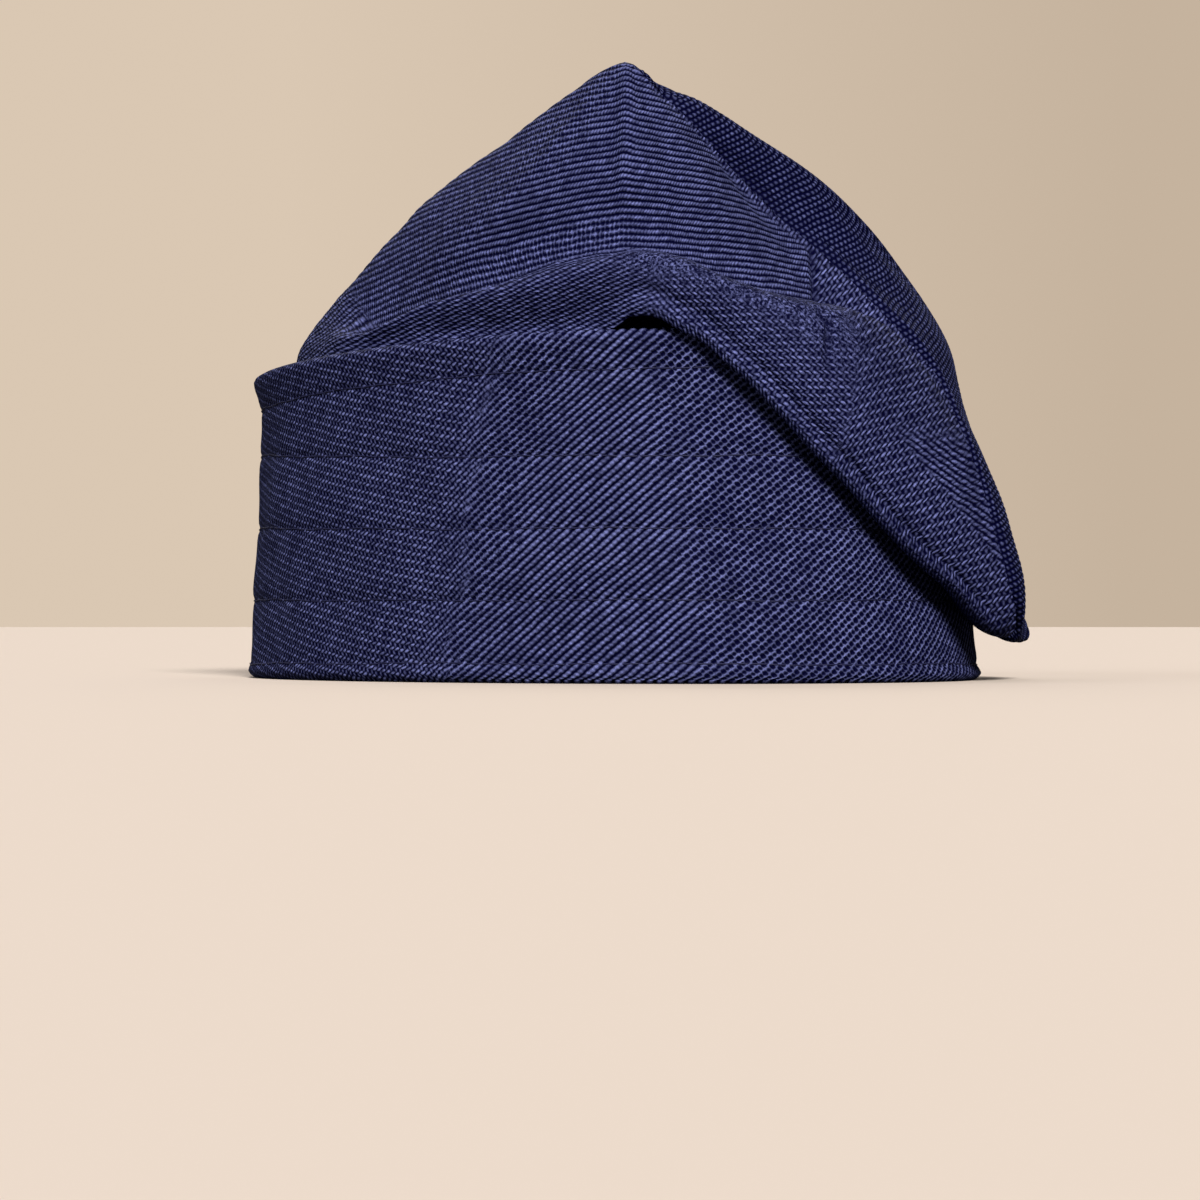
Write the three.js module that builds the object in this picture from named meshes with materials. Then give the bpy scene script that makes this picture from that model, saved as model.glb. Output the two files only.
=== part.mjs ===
// A soft woven cap standing on its rim: a stiff upright band, and a bag-shaped crown of two cloth panels
// that rises to a peak and slouches over the band on one side, down to a double tip near the rim.
// Millimetres, +Z up. The wearer's front is -Y and the wearer's left is +X. Azimuths are in degrees,
// from the front towards the wearer's left.
import * as THREE from "three";

// Driving dimensions.
const HEAD_BREADTH = 160; // inside the rim, side to side
const HEAD_LENGTH = 200; // inside the rim, front to back
const BAND_HEIGHT = 78.4; // mean height of the band
const BAND_FRONT_RISE = 3.4; // how much taller the band is at the front than the mean
const BAND_HIGHEST = -10; // azimuth of the band's tallest place
const BAND_WALL = 3; // doubled cloth
const CROWN_WALL = 1.8; // single cloth
const SEWN_GAP = 0.4; // between the crown's foot and the inside of the band
const SEAM_GAP = 0.4; // between the two crown panels
const SEAM_AZIMUTH = 22; // the seam runs from here, over the peak, to the opposite azimuth
const FOOT_DEPTH = 13; // how far the crown's foot reaches below the band's top edge
const TUCK_INSET = 8; // how far inside the band the crown stands where it does not lap over
const BAND_DIP = 24; // how far the band's top edge is pressed down under the flap
const BAND_LEAN = 10; // how far it leans in there
const DIP_AZIMUTH = 38; // the middle of that place
const DIP_REACH = 62; // and how far round it goes to each side
const LIP_RISE = 2.6; // how far the cloth clears the band's top edge where it laps over
const CROSS_RISE = 2; // how much higher it stands where it crosses that edge on the slant
const UNDER_CLEARANCE = 1.2; // between the band and the underside of the flap
const FOLD_RISE = 5; // height of the turned edge of the flap above its lowest line
const BELLY_OUT = 3.4; // the fullest place of the flap, outside its lowest line
const BELLY_RISE = 12; // and above it
const PEAK = new THREE.Vector3(-22, -33, 150);
const PEAK_ROUND = 3.2; // radius of the blunt end of the peak

// The band's outer face, from the rim up: share of the height, and how far it stands outside the head line.
const BAND_FACE = [
  { share: 0, out: 2.6 },
  { share: 0.03, out: 3.4 },
  { share: 0.07, out: 2.7 },
  { share: 0.3, out: 1.7 },
  { share: 0.55, out: 0.8 },
  { share: 0.78, out: 0.1 },
  { share: 0.92, out: 0.9 },
  { share: 0.985, out: 1.9 },
  { share: 1, out: 1.2 },
];

// Sections of the crown, one row for each azimuth. over is 0 where the cloth stays inside the band and 1
// where it laps over it. Fold is the lowest line of the turned edge and crest the top of the roll above it;
// their outs are from the head line. Valley and shoulder are radii about a centre that moves to the peak.
const SECTION_COLUMNS = [
  "az", "over", "foldOut", "foldZ", "crestOut", "crestZ", "valleyR", "valleyZ", "shoulderR", "shoulderZ",
];
const SECTIONS = [
  [-170, 0, -9, 80, -11, 87, 72, 99, 51, 117],
  [-130, 0, -9.5, 79.5, -12, 87, 66, 99, 48, 116],
  [-100, 0, -6.5, 78.5, -7.5, 83.5, 62, 86.5, 48, 109],
  [-70, 0, -4.8, 79.5, -3.5, 89.5, 65, 93, 49, 113],
  [-42, 0, -3.6, 81, -0.5, 95, 68, 101, 53, 117.5], // the cloth starts to cross the band's edge
  [-36, 0.8, 5, 86, 3.5, 98.5, 69, 102, 54, 119], // the open tuck, under the front crease
  [-30, 1, 8.5, 82, 7, 96, 69.5, 100.5, 53, 118],
  [-24, 1, 10, 72.5, 8, 91.5, 70, 97, 51, 116.5],
  [-10, 1, 11, 48, 3, 86.5, 69, 92, 49, 114],
  [8, 1, 11, 22, -7, 82, 68, 89.5, 45, 112],
  [22, 1, 12.5, 10.5, -1, 66, 79.5, 84, 41, 113], // the seam, and the flap's tip
  [32, 1, 12.5, 10, 0.5, 63, 81.5, 83.5, 43, 115],
  [45, 1, 12, 16, 2, 62, 82.5, 85, 48.5, 117],
  [62, 1, 11, 33, 5, 67, 82, 88, 56, 118.5],
  [88, 1, 7.5, 60, 3, 83, 80.5, 95, 59.5, 120.5],
  [120, 0.4, 0, 80.5, -1, 90, 80, 99, 58, 122],
  [155, 0, -6, 80.5, -7.5, 87, 80, 100, 57, 122],
].map((row) => Object.fromEntries(row.map((value, i) => [SECTION_COLUMNS[i], value])));

// How far the moving centre has gone towards the peak at each level, and the crown's last level below it.
const VALLEY_SHIFT = 0.2;
const SHOULDER_SHIFT = 0.45;
const UPPER_SHIFT = 0.82;
const UPPER_RADIUS = 0.46; // of the shoulder's radius
const UPPER_RISE = 0.58; // of the rise from the shoulder to the peak

const COLUMNS = 72; // facets round the cap
const STEPS = [1, 1, 2, 3, 2, 3, 4, 4, 4, 3, 3, 2]; // facets between one level of the crown and the next

const lerp = THREE.MathUtils.lerp;

// A smooth periodic curve through one column of the sections, without overshoot.
function around(column) {
  const x = SECTIONS.map((row) => row.az);
  const y = SECTIONS.map((row) => row[column]);
  const n = x.length;
  const width = x.map((a, i) => (i + 1 < n ? x[i + 1] - a : x[0] + 360 - a));
  const rate = y.map((v, i) => (y[(i + 1) % n] - v) / width[i]);
  const slope = rate.map((next, i) => {
    const last = rate[(i + n - 1) % n];
    return last * next > 0 ? (2 * last * next) / (last + next) : 0;
  });
  return (azimuth) => {
    const a = THREE.MathUtils.euclideanModulo(azimuth - x[0], 360) + x[0];
    const i = x.findLastIndex((v) => v <= a);
    const j = (i + 1) % n;
    const t = (a - x[i]) / width[i];
    const start = y[i] + slope[i] * width[i] * t;
    const end = y[j] - slope[j] * width[i] * (1 - t);
    return lerp(start, end, t * t * (3 - 2 * t));
  };
}
const section = {};
for (const column of Object.keys(SECTIONS[0])) {
  section[column] = around(column);
}

// The head line: distance from the axis to the inside of the rim.
function headLine(azimuth) {
  const a = THREE.MathUtils.degToRad(azimuth);
  const across = (HEAD_LENGTH / 2) * Math.sin(a);
  const along = (HEAD_BREADTH / 2) * Math.cos(a);
  return (HEAD_BREADTH * HEAD_LENGTH) / 4 / Math.hypot(across, along);
}
// How strongly the band is pressed down under the flap, from 0 to 1.
function pressed(azimuth) {
  const a = THREE.MathUtils.euclideanModulo(azimuth - DIP_AZIMUTH + 180, 360) - 180;
  return Math.abs(a) < DIP_REACH ? Math.cos((a / DIP_REACH) * (Math.PI / 2)) ** 2 : 0;
}
function bandTop(azimuth) {
  const rise = BAND_FRONT_RISE * Math.cos(THREE.MathUtils.degToRad(azimuth - BAND_HIGHEST));
  return BAND_HEIGHT + rise - BAND_DIP * pressed(azimuth);
}
// The band's outer face at a share of its height, outside the head line.
function bandOut(azimuth, share) {
  const s = THREE.MathUtils.clamp(share, 0, 1);
  const i = Math.max(1, BAND_FACE.findIndex((row) => row.share >= s));
  const [low, high] = [BAND_FACE[i - 1], BAND_FACE[i]];
  const face = lerp(low.out, high.out, (s - low.share) / (high.share - low.share));
  return face - BAND_LEAN * s * s * pressed(azimuth);
}
function spot(azimuth, radius, z, shift = 0) {
  const a = THREE.MathUtils.degToRad(azimuth);
  return new THREE.Vector3(radius * Math.sin(a) + shift * PEAK.x, -radius * Math.cos(a) + shift * PEAK.y, z);
}

// One upright section of the crown, from its foot inside the band to the peak.
function crownCurve(azimuth) {
  const at = (column) => section[column](azimuth);
  const top = bandTop(azimuth);
  const head = headLine(azimuth);
  const over = at("over");
  const fold = { r: head + at("foldOut"), z: at("foldZ") };
  const rim = head + bandOut(azimuth, 1);
  const edge = rim + lerp(-TUCK_INSET - 0.5, UNDER_CLEARANCE + 0.6, over);
  const inside = head + bandOut(azimuth, 1 - FOOT_DEPTH / top) - BAND_WALL - SEWN_GAP;
  const clear = head + bandOut(azimuth, fold.z / top) + UNDER_CLEARANCE;
  const underZ = fold.z + Math.min(FOLD_RISE, Math.max(0.8, top - fold.z));
  const cross = CROSS_RISE * 4 * over * (1 - over);
  const lift = over * Math.max(0, fold.z - top) + cross;
  return new THREE.CatmullRomCurve3(
    [
      spot(azimuth, inside, top - FOOT_DEPTH),
      spot(azimuth, rim + lerp(-TUCK_INSET + 2, -BAND_WALL - 0.8, over), top + lerp(-7.5, -0.8, over)),
      spot(azimuth, rim + lerp(-TUCK_INSET, -1.5, over), top + lerp(-3, LIP_RISE, over) + lift),
      spot(azimuth, edge, top + lerp(-0.5, 0, over) + lift),
      spot(azimuth, lerp(fold.r - 1.8, clear, over), lerp(fold.z - 1.5, underZ, over)),
      spot(azimuth, fold.r, fold.z),
      spot(azimuth, fold.r + lerp(-0.5, BELLY_OUT, over), fold.z + lerp(3, BELLY_RISE, over)),
      spot(azimuth, head + at("crestOut"), at("crestZ")),
      spot(azimuth, at("valleyR"), at("valleyZ"), VALLEY_SHIFT),
      spot(azimuth, at("shoulderR"), at("shoulderZ"), SHOULDER_SHIFT),
      spot(azimuth, at("shoulderR") * UPPER_RADIUS, lerp(at("shoulderZ"), PEAK.z, UPPER_RISE), UPPER_SHIFT),
      spot(azimuth, PEAK_ROUND, PEAK.z - 1.2, 1),
      PEAK.clone(),
    ],
    false,
    "centripetal",
  );
}

// The crown's right side as columns of points, and the wrong side one cloth thickness behind it.
const azimuths = Array.from({ length: COLUMNS }, (_, i) => SEAM_AZIMUTH + (i * 360) / COLUMNS);
const outer = azimuths.map((azimuth) => {
  const curve = crownCurve(azimuth);
  const column = [curve.getPoint(0)];
  STEPS.forEach((steps, span) => {
    for (let k = 1; k <= steps; k += 1) {
      column.push(curve.getPoint((span + k / steps) / STEPS.length));
    }
  });
  return column;
});
const LAST = outer[0].length - 1;
const normal = outer.map((column, i) =>
  column.map((point, j) => {
    const before = outer[(i + COLUMNS - 1) % COLUMNS];
    const after = outer[(i + 1) % COLUMNS];
    const row = Math.min(j, LAST - 1);
    const round = after[row].clone().sub(before[row]);
    const up = column[row + 1].clone().sub(column[Math.max(row - 1, 0)]);
    return round.cross(up).normalize();
  }),
);
const peakNormal = normal.reduce((sum, column) => sum.add(column[LAST]), new THREE.Vector3()).normalize();
const inner = outer.map((column, i) =>
  column.map((point, j) => {
    const direction = j === LAST ? peakNormal : normal[i][j];
    return point.clone().addScaledVector(direction, -CROWN_WALL);
  }),
);

// A closed mesh from points and triangles.
function solid(name, points, faces, colour) {
  const geometry = new THREE.BufferGeometry().setFromPoints(points);
  geometry.setIndex(faces);
  geometry.computeVertexNormals();
  const material = new THREE.MeshStandardMaterial({ color: colour, roughness: 0.9 });
  const mesh = new THREE.Mesh(geometry, material);
  mesh.name = name;
  return mesh;
}

// One crown panel, from the seam at the first column to the seam at the last, drawn back half the gap.
function panel(name, first, last, colour) {
  const points = [];
  const faces = [];
  const count = last - first;
  const away = spot(azimuths[first % COLUMNS] + 90, SEAM_GAP / 2, 0);
  const place = (grid, i, j) => {
    const point = grid[(first + i) % COLUMNS][j].clone();
    return i === 0 || i === count || j === LAST ? point.add(away) : point;
  };
  const index = [outer, inner].map((grid) => {
    const ids = [];
    for (let i = 0; i <= count; i += 1) {
      ids.push([]);
      for (let j = 0; j < LAST; j += 1) {
        ids[i].push(points.push(place(grid, i, j)) - 1);
      }
    }
    const tip = points.push(place(grid, 0, LAST)) - 1;
    ids.forEach((column) => column.push(tip));
    return ids;
  });
  const quad = (a, b, c, d) => {
    [[a, b, c], [a, c, d]].forEach((t) => {
      if (new Set(t).size === 3) {
        faces.push(...t);
      }
    });
  };
  const [right, wrong] = index;
  for (let i = 0; i < count; i += 1) {
    for (let j = 0; j < LAST; j += 1) {
      quad(right[i][j], right[i + 1][j], right[i + 1][j + 1], right[i][j + 1]);
      quad(wrong[i][j], wrong[i][j + 1], wrong[i + 1][j + 1], wrong[i + 1][j]);
    }
    quad(wrong[i][0], wrong[i + 1][0], right[i + 1][0], right[i][0]);
  }
  for (let j = 0; j < LAST; j += 1) {
    quad(wrong[0][j], right[0][j], right[0][j + 1], wrong[0][j + 1]);
    quad(right[count][j], wrong[count][j], wrong[count][j + 1], right[count][j + 1]);
  }
  return solid(name, points, faces, colour);
}

// The band: its face profile up the outside and a plainer one back down the inside, round the head line.
function band(name, colour) {
  const lining = BAND_FACE.filter((row, i) => i % 2 === 0).toReversed();
  const profile = [
    ...BAND_FACE.map((row) => ({ share: row.share, in: 0 })),
    ...lining.map((row) => ({ share: row.share, in: BAND_WALL })),
  ];
  const size = profile.length;
  const points = azimuths.flatMap((azimuth) =>
    profile.map((row) => {
      const radius = headLine(azimuth) + bandOut(azimuth, row.share) - row.in;
      return spot(azimuth, radius, row.share * bandTop(azimuth));
    }),
  );
  const faces = azimuths.flatMap((_, i) =>
    profile.flatMap((row, j) => {
      const [a, b] = [i * size, ((i + 1) % COLUMNS) * size];
      const k = (j + 1) % size;
      return [a + j, b + j, b + k, a + j, b + k, a + k];
    }),
  );
  return solid(name, points, faces, colour);
}

// The cap, moved so that its box stands centred on the origin with the rim at z = 0.
const cap = new THREE.Group();
cap.add(
  band("band", 0x2a2c4c),
  panel("crown_front", COLUMNS / 2, COLUMNS, 0x2c2e50),
  panel("crown_back", 0, COLUMNS / 2, 0x26284a),
);
const box = new THREE.Box3().setFromObject(cap);
const middle = box.getCenter(new THREE.Vector3());
cap.children.forEach((mesh) => mesh.geometry.translate(-middle.x, -middle.y, -box.min.z));

export default cap;
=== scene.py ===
import math
from functools import reduce

import bmesh
import bpy
import numpy as np
from numpy.linalg import norm
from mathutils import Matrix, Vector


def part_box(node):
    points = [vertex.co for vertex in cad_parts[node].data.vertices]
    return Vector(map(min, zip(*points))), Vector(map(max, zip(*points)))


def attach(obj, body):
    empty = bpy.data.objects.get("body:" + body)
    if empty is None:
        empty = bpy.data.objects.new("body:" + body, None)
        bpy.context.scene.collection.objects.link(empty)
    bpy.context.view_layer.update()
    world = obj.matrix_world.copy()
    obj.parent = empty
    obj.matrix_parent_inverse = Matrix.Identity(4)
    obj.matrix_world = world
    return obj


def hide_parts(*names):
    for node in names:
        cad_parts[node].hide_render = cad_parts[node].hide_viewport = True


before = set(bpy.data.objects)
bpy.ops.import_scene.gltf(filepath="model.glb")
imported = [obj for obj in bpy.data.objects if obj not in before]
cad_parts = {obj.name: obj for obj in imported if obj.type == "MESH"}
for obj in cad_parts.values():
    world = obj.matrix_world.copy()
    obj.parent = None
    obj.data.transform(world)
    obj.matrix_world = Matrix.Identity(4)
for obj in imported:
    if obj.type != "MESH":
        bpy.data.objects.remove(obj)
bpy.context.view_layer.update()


# The band: a stiff upright ring of doubled cloth cut on the bias. It is folded over at its top edge, rolled
# into a round hem at the rim, and pressed down and inwards where the crown's flap hangs over it.
# Lengths are in millimetres until a mesh is made, azimuths in degrees from the front to the wearer's left.
MM = 0.001
HEM_OUT = 3.4  # the hem's fullest line, outside the head line
band_low, band_high = (np.array(corner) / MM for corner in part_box("band"))
AXIS = (band_low + band_high) / 2
HALF_BREADTH = (band_high[0] - band_low[0]) / 2 - HEM_OUT
HALF_LENGTH = (band_high[1] - band_low[1]) / 2 - HEM_OUT
BAND_HEIGHT = 78.4
BAND_FRONT_RISE = 3.4
BAND_TALLEST = BAND_HEIGHT + BAND_FRONT_RISE
BAND_HIGHEST = -10  # azimuth
BAND_ENDS = 180  # they meet at the back
BAND_WALL = 3
BAND_DIP = 24
BAND_LEAN = 10
DIP_AZIMUTH = 38
DIP_REACH = 62
BAND_FACE_SHARE = (0, 0.03, 0.07, 0.3, 0.55, 0.78, 0.92, 0.985, 1)
BAND_FACE_OUT = (2.6, HEM_OUT, 2.7, 1.7, 0.8, 0.1, 0.9, 1.9, 1.2)
VIEWED = -40  # the azimuth that the camera looks at
STITCH_HEIGHTS = (4.6, 19.2, 35.7, 52.4)  # the rows of top stitching in front, below the top one
STITCH_ROWS = len(STITCH_HEIGHTS) + 1
TOP_STITCH = 9  # from the top edge down to the top row
STITCH_LEVEL = 15  # rows above this height climb towards the sides
STITCH_CLIMB = 0.1
STITCH_SINK = 0.5  # how deep a row draws the cloth in
STITCH_PUCKER = 1.2  # half the width of that hollow
RIB = 1.56  # from one weft yarn to the next
WARP = 1.15  # from one warp yarn to the next
RELIEF = 0.42  # from the gaps between the wefts to their tops
BAND_BIAS = 41  # degrees from the rim to the weft
RIB_COLUMNS = 4  # columns of mesh for each weft
STITCH_ROW_STEPS = (-2.6, -1.3, -0.6, 0, 0.6, 1.3, 2.6)  # rows of mesh about each row of stitches
BETWEEN_ROWS = 5
EDGE_ROWS = 5
LINING_ROWS = 10
LEAST_ROW_GAP = 0.4
MEAN_RADIUS = 90
RIB_SUNK = 0.6  # the share of a rib's relief that lies inside the smooth surface
FINE_STEPS = 3600  # round the head line, where lengths are measured
WAVES = 7  # that make up a ripple
WAVE_SPREAD = (0.6, 1.4)
WAVES_PEAK = 3.2  # about the most that they add up to
SWELL_FADE = 8  # the band's swells fade this near to the rim and to the top edge
TOP_SWELL = 0.25  # the share left there
WELD = 1e-7  # metres
SLIVER = 1e-8
NET_FLATTER = 0.55  # how much lower the ribs are in a net and among dots
DOTS_FLATTER = 0.75


def smooth(at, x, y, period=None):
    """A curve through the points x, y that does not overshoot them. With a period it closes on itself."""
    at, x, y = (np.asarray(values, float) for values in (at, x, y))
    if period:
        x = np.concatenate([x[-2:] - period, x, x[:2] + period])
        y = np.concatenate([y[-2:], y, y[:2]])
        at = (at - x[2]) % period + x[2]
    rate = np.diff(y) / np.diff(x)
    slope = np.zeros_like(y)
    level = np.where(rate[:-1] + rate[1:] == 0, 1, rate[:-1] + rate[1:])
    slope[1:-1] = np.where(rate[:-1] * rate[1:] > 0, 2 * rate[:-1] * rate[1:] / level, 0)
    i = np.clip(np.searchsorted(x, at, side="right") - 1, 0, len(x) - 2)
    width = x[i + 1] - x[i]
    t = (at - x[i]) / width
    start = y[i] + slope[i] * width * t
    end = y[i + 1] - slope[i + 1] * width * (1 - t)
    return start + (end - start) * t * t * (3 - 2 * t)


def ease(value, low, high):
    """0 below low, 1 above high, and a soft step between them."""
    t = np.clip((value - low) / (high - low), 0, 1)
    return t * t * (3 - 2 * t)


def window(value, opens, wide, narrows, closes):
    """0, then 1 from wide to narrows, then 0 again, with soft steps between."""
    return ease(value, opens, wide) * (1 - ease(value, narrows, closes))


def hump(off, width):
    """1 where off is 0, falling away smoothly to both sides over the width."""
    return np.exp(-((off / width) ** 2))


def head_line(azimuth):
    a = np.radians(azimuth)
    return HALF_BREADTH * HALF_LENGTH / np.hypot(HALF_LENGTH * np.sin(a), HALF_BREADTH * np.cos(a))


def bell(azimuth, middle, reach):
    """1 at the middle azimuth, falling to 0 at the reach on both sides."""
    off = (azimuth - middle + 180) % 360 - 180
    return np.cos(np.clip(off / reach, -1, 1) * math.pi / 2) ** 2


def pressed(azimuth):
    """How strongly the flap presses the band down, from 0 to 1."""
    return bell(azimuth, DIP_AZIMUTH, DIP_REACH)


def band_top(azimuth):
    rise = BAND_FRONT_RISE * np.cos(np.radians(azimuth - BAND_HIGHEST))
    return BAND_HEIGHT + rise - BAND_DIP * pressed(azimuth)


def band_out(azimuth, share):
    """The band's outer face, outside the head line, at a share of its height."""
    share = np.clip(share, 0, 1)
    return smooth(share, BAND_FACE_SHARE, BAND_FACE_OUT) - BAND_LEAN * share**2 * pressed(azimuth)


def spot(azimuth, radius, z, shift=(0, 0)):
    a = np.radians(azimuth)
    x = AXIS[0] + radius * np.sin(a) + shift[0]
    y = AXIS[1] - radius * np.cos(a) + shift[1]
    return np.stack(np.broadcast_arrays(x, y, z), -1)


def ripple(points, length, seed):
    """Slow random swells between about -1 and 1 over points in space; length is the size of one swell."""
    rng = np.random.default_rng(seed)
    total = 0
    for _ in range(WAVES):
        way = rng.normal(size=3)
        way *= rng.uniform(*WAVE_SPREAD) * 2 * math.pi / length / norm(way)
        total = total + np.sin(points @ way + rng.uniform(0, 2 * math.pi))
    return total / WAVES_PEAK


def ripples(points, *rows):
    """Ripples added up. Each row has a height, a length and a seed."""
    return sum(height * ripple(points, length, seed) for height, length, seed in rows)


def normals(grid):
    """Outward normals of a grid of points whose first index goes round the cap and second goes up it."""
    across = np.roll(grid, -1, 0) - np.roll(grid, 1, 0)
    facing = np.cross(across, np.gradient(grid, axis=1))
    return facing / np.maximum(norm(facing, axis=2, keepdims=True), 1e-9)


def run(points, axis):
    """Distance along a grid of points, from its first line."""
    steps = norm(np.diff(points, axis=axis), axis=2)
    return np.insert(np.cumsum(steps, axis=axis), 0, 0, axis=axis)


def cloth(name, points, faces, maps, values):
    """A mesh piece from points in millimetres, with uv maps and point values. It rides on the one body."""
    mesh = bpy.data.meshes.new(name)
    mesh.from_pydata((points * MM).tolist(), [], faces)
    for key, corners in maps.items():
        layer = mesh.uv_layers.new(name=key)
        layer.data.foreach_set("uv", corners.astype(np.float32).ravel())
    for key, value in values.items():
        layer = mesh.attributes.new(key, "FLOAT", "POINT")
        layer.data.foreach_set("value", value.astype(np.float32).ravel())
    piece = bpy.data.objects.new(name, mesh)
    bpy.context.collection.objects.link(piece)
    bm = bmesh.new()
    bm.from_mesh(mesh)
    bmesh.ops.remove_doubles(bm, verts=bm.verts, dist=WELD)
    bmesh.ops.dissolve_degenerate(bm, edges=bm.edges, dist=SLIVER)
    bm.to_mesh(mesh)
    bm.free()
    mesh.shade_smooth()
    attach(piece, "root")
    return piece


def even_azimuths(count):
    """Azimuths at even steps along the head line, once round from the band's ends, and its length."""
    fine = BAND_ENDS + np.linspace(0, 360, FINE_STEPS + 1)
    length = run(spot(fine, head_line(fine), 0)[:, None], 0)[:, 0]
    return np.interp(np.linspace(0, length[-1], count + 1), length, fine), length[-1]


def stitch_height(number, azimuth):
    """Height of a row of stitching. The lower rows climb to the sides, and all sink under the flap."""
    if number == len(STITCH_HEIGHTS):
        return band_top(azimuth) - TOP_STITCH
    front = STITCH_HEIGHTS[number]
    side = 1 - np.maximum(0, np.cos(np.radians(azimuth - VIEWED)))
    climbed = front + (front - STITCH_LEVEL) * STITCH_CLIMB * side
    return climbed - BAND_DIP * pressed(azimuth) * (front / BAND_HEIGHT) ** 3


def waver(weave, points, seed):
    """The weave's small unevenness: yarns that wander from their straight lines."""
    wander = [ripples(points, (0.1, 8, seed + n), (0.2, 30, seed + 2 + n)) for n in range(2)]
    return weave + np.stack(wander, -1)


def rib_top(weave):
    """Height of a weft's round top over the gaps beside it, from 0 to 1."""
    return 1 - (2 * (weave[..., 1] / RIB % 1 - 0.5)) ** 2


def ribbed(net, dots):
    """How much the wefts stand out as ribs: less in an open net, and little where the cloth is dotted."""
    return 1 - NET_FLATTER * net * (1 - dots) - DOTS_FLATTER * dots


bias = math.radians(BAND_BIAS)
fine_azimuth, GIRTH = even_azimuths(FINE_STEPS)


def azimuth_at(girth):
    return np.interp(girth % GIRTH, np.linspace(0, GIRTH, FINE_STEPS + 1), fine_azimuth)


wefts = 2 * round(GIRTH * math.sin(bias) / RIB / 2)
band_columns = wefts * RIB_COLUMNS
half_wall = BAND_WALL / 2
marks = [half_wall, *STITCH_HEIGHTS, BAND_TALLEST - TOP_STITCH]
face_marks = [half_wall]
for low_mark, high_mark in zip(marks, marks[1:]):
    if low_mark > half_wall:
        reach = STITCH_ROW_STEPS[-1]
        face_marks += [*np.linspace(low_mark + reach, high_mark - reach, BETWEEN_ROWS + 2)[1:-1]]
    by_stitches = (high_mark + step for step in STITCH_ROW_STEPS)
    face_marks += [mark for mark in by_stitches if mark > half_wall + LEAST_ROW_GAP]
face_marks += [*np.linspace(face_marks[-1], BAND_TALLEST - half_wall, BETWEEN_ROWS + 1)[1:]]
face_marks = np.array(face_marks)
face_rows = len(face_marks)
turn = np.linspace(0, math.pi, EDGE_ROWS + 2)[None, 1:-1]
down = 1 - np.linspace(0, 1, LINING_ROWS)[None, :]
weave_height = np.concatenate([
    face_marks,
    face_marks[-1] + half_wall * np.sin(turn[0]),
    face_marks[-1] * down[0],
    0 * turn[0],
])[None, :]
column_girth = np.linspace(0, GIRTH, band_columns + 1)[:, None]
girth = column_girth + weave_height / math.tan(bias)
about = spot(azimuth_at(girth), MEAN_RADIUS, weave_height)
girth = girth + ripples(about, (0.28, 26, 20), (0.1, 9, 21))
azimuth = azimuth_at(girth)
top = band_top(azimuth)
face_azimuth = azimuth[:, :face_rows]
moved = np.stack([
    half_wall + 0 * face_azimuth,
    *(stitch_height(number, face_azimuth) for number in range(STITCH_ROWS)),
    band_top(face_azimuth) - half_wall,
])  # where each mark comes to lie, so that the rows keep to the stitches
place = np.interp(face_marks, [*marks, BAND_TALLEST - half_wall], range(len(moved)))
below = np.minimum(place.astype(int), len(moved) - 2)
low_z, high_z = (moved[k, :, np.arange(face_rows)].T for k in (below, below + 1))
face_z = low_z + (high_z - low_z) * (place - below)
over_edge = face_rows + EDGE_ROWS
edge = slice(face_rows, over_edge)
lining = slice(over_edge, over_edge + LINING_ROWS)
rim = slice(over_edge + LINING_ROWS, None)
band_z = np.hstack([
    face_z,
    top[:, edge] - half_wall + half_wall * np.sin(turn),
    half_wall + down * (top[:, lining] - BAND_WALL),
    half_wall - half_wall * np.sin(turn) + 0 * azimuth[:, rim],
])
band_depth = np.hstack([
    0 * face_z,
    half_wall * (1 - np.cos(turn)) + 0 * azimuth[:, edge],
    BAND_WALL + 0 * azimuth[:, lining],
    half_wall * (1 + np.cos(turn)) + 0 * azimuth[:, rim],
])
sink = sum(hump(band_z - stitch_height(number, azimuth), STITCH_PUCKER) for number in range(STITCH_ROWS))
sink = np.where(band_depth < half_wall, STITCH_SINK * sink, 0)


def band_swell(points, top):
    """The band's slow unevenness, outwards, at points on it."""
    swell = ripples(points, (0.35, 38, 1), (0.15, 13, 2))
    z = points[..., 2]
    return swell * np.clip(z / SWELL_FADE, 0, 1) * np.clip((top - z) / SWELL_FADE, TOP_SWELL, 1)


band_grid = spot(azimuth, head_line(azimuth) + band_out(azimuth, band_z / top) - band_depth - sink, band_z)
band_grid[..., :2] += band_swell(band_grid, top)[..., None] * (band_grid[..., :2] - AXIS[:2]) / MEAN_RADIUS
turns = GIRTH * math.cos(bias) / (2 * WARP)
band_weave = np.stack([
    (girth * math.cos(bias) + weave_height * math.sin(bias)) * round(turns) / turns,
    -column_girth / GIRTH * wefts * RIB + 0 * weave_height,
], -1)
# Round the band the weave changes: fine dots at the side, then a half-open net, ribs in front and an open net
# under the flap. Each edge has an azimuth from the view's middle, a lean with height and a softness.
DOTS_EDGE = (-28, 0.14, 8)
SIDE_EDGE = (-28, 0.14, 0.9)
SIDE_NET_EDGE = (-20.5, 0.22, 7)
FLAP_NET_EDGE = (13.5, -0.09, 6)
SIDE_FROM = (-130, -110)
FAR_ROUND = (36, 60)
SIDE_NET = 0.5  # how open each net is, and how dotted the cloth
FLAP_NET = 0.78
FLAP_DOTS = 0.28
FAR_DOTS = 0.12
FLAP_SHADE = 0.12  # how much painted shade darkens the band under the flap, in place of the flap's shadow
SIDE_WEFT = (-50, 1.28)  # degrees from level to across the side's wefts, and from one to the next
SIDE_WARP = (32.8, 1.242)
seen_from = (azimuth - VIEWED + 180) % 360 - 180
ragged = ripples(band_grid, (1.5, 17, 22), (2, 5, 23))


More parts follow.
